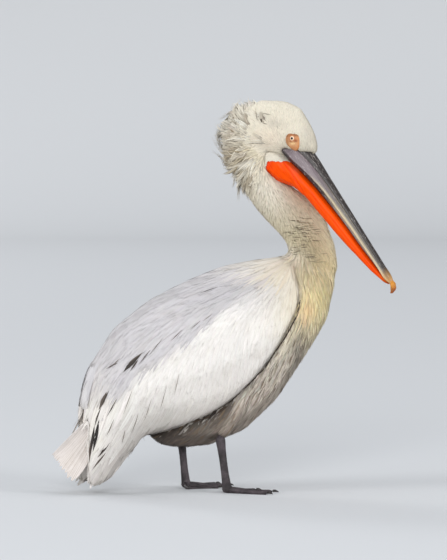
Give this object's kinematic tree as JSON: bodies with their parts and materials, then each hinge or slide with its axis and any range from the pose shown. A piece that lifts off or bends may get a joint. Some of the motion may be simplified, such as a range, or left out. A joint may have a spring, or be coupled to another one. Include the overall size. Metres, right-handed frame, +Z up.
{
  "type": "pelican",
  "caption": "Life-size still model of a standing pelican with folded wings, drawn-back neck, shaggy crest and a long hooked bill over an orange pouch.",
  "frame": {"origin": "on the floor, under the middle of the whole bird's box", "axes": "+Z up, +X the way the body faces, +Y towards its left side"},
  "size_m": [0.8156, 0.3552, 0.957],
  "materials": {
    "body_feathers": "soft short white feathers with a grey-brown shade on the belly and a pale yellow patch on the lower foreneck",
    "crest_feathers": "long loose silvery feathers in curled tufts",
    "mantle_feathers": "silvery grey lance-shaped feathers with fine dark shafts",
    "covert_feathers": "long narrow white feathers",
    "flight_feathers": "stiff white feathers with dark edges and shafts",
    "bill_horn": "satin grey horn with fine lengthways ridges, cream along the cutting edge",
    "bill_nail_horn": "satin yellow-orange horn",
    "pouch_skin": "smooth bare orange-red skin",
    "bare_face_skin": "fine-grained bare tan skin",
    "eye": "wet cornea over a pale yellow-white iris",
    "leg_skin": "scaled grey-brown skin, dull",
    "claw_horn": "dark satin horn"
  },
  "bodies": {
    "root": {"upper_bill": "bill_horn", "bill_nail": "bill_nail_horn", "lower_bill": "pouch_skin", "pouch": "pouch_skin", "head": "body_feathers", "eye_right": "eye", "face_skin_right": "bare_face_skin", "eye_left": "eye", "face_skin_left": "bare_face_skin", "crest": "crest_feathers", "trunk": "body_feathers", "neck_lower": "body_feathers", "neck_middle": "body_feathers", "neck_upper": "body_feathers", "tail": "flight_feathers", "wing_scapulars_right": "mantle_feathers", "wing_coverts_right": "covert_feathers", "wing_secondaries_right": "flight_feathers", "wing_primaries_right": "flight_feathers", "wing_scapulars_left": "mantle_feathers", "wing_coverts_left": "covert_feathers", "wing_secondaries_left": "flight_feathers", "wing_primaries_left": "flight_feathers", "thigh_right": "body_feathers", "shank_right": "leg_skin", "foot_right": "leg_skin", "claw_outer_right": "claw_horn", "claw_middle_right": "claw_horn", "claw_inner_right": "claw_horn", "claw_hind_right": "claw_horn", "thigh_left": "body_feathers", "shank_left": "leg_skin", "foot_left": "leg_skin", "claw_outer_left": "claw_horn", "claw_middle_left": "claw_horn", "claw_inner_left": "claw_horn", "claw_hind_left": "claw_horn"}
  },
  "joints": []
}
